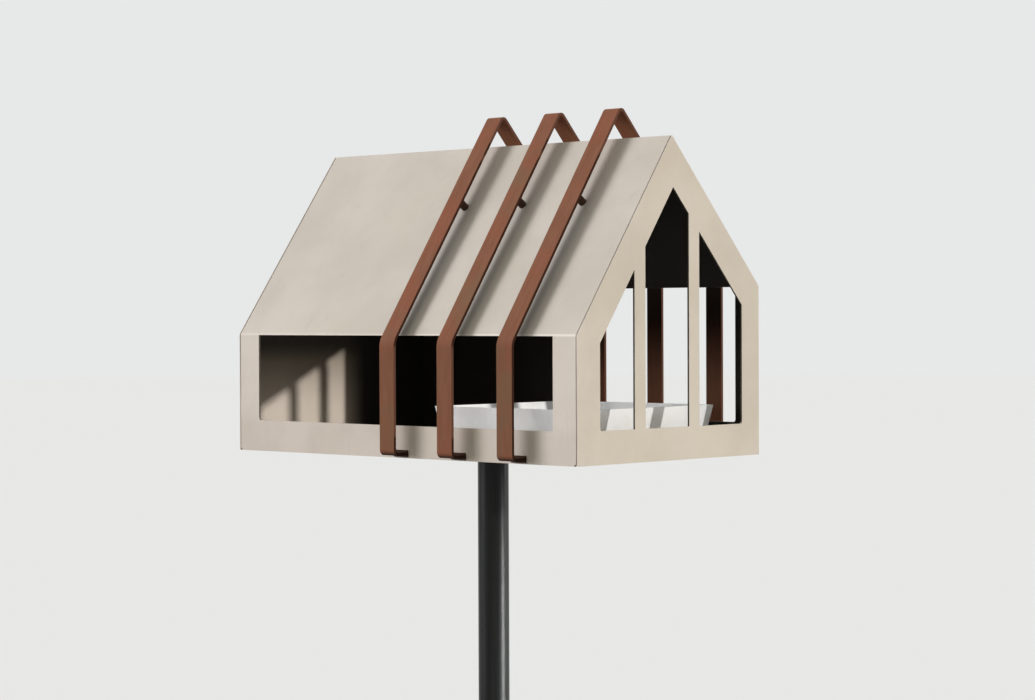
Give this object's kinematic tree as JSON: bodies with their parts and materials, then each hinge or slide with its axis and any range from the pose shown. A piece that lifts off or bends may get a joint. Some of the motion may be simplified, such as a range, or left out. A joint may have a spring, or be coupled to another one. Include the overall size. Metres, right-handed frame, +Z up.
{
  "type": "bird feeder",
  "caption": "House-shaped garden bird feeder of folded sheet steel with open sides, a paned gable window, flat bars over its roof and a feed tray inside, on a round pole.",
  "frame": {"origin": "centre of the pole's foot at ground level", "axes": "+Z up along the pole, +X along the ridge towards the gable with the window, -Y out of the long front opening"},
  "size_m": [0.48, 0.318, 1.6951],
  "materials": {
    "house_paint": "satin warm grey paint",
    "strap_brown": "satin copper brown paint",
    "peg_dark": "dark satin paint",
    "tray_white": "smooth white",
    "pole_black": "satin near-black paint"
  },
  "bodies": {
    "root": {"pole": "pole_black", "pole_head": "pole_black", "floor": "house_paint", "front_shell": "house_paint", "back_shell": "house_paint", "left_gable": "house_paint", "right_gable": "house_paint", "feed_tray": "tray_white", "strap_left": "strap_brown", "strap_middle": "strap_brown", "strap_right": "strap_brown", "front_peg_left": "peg_dark", "front_peg_middle": "peg_dark", "front_peg_right": "peg_dark", "back_peg_left": "peg_dark", "back_peg_middle": "peg_dark", "back_peg_right": "peg_dark"}
  },
  "joints": []
}
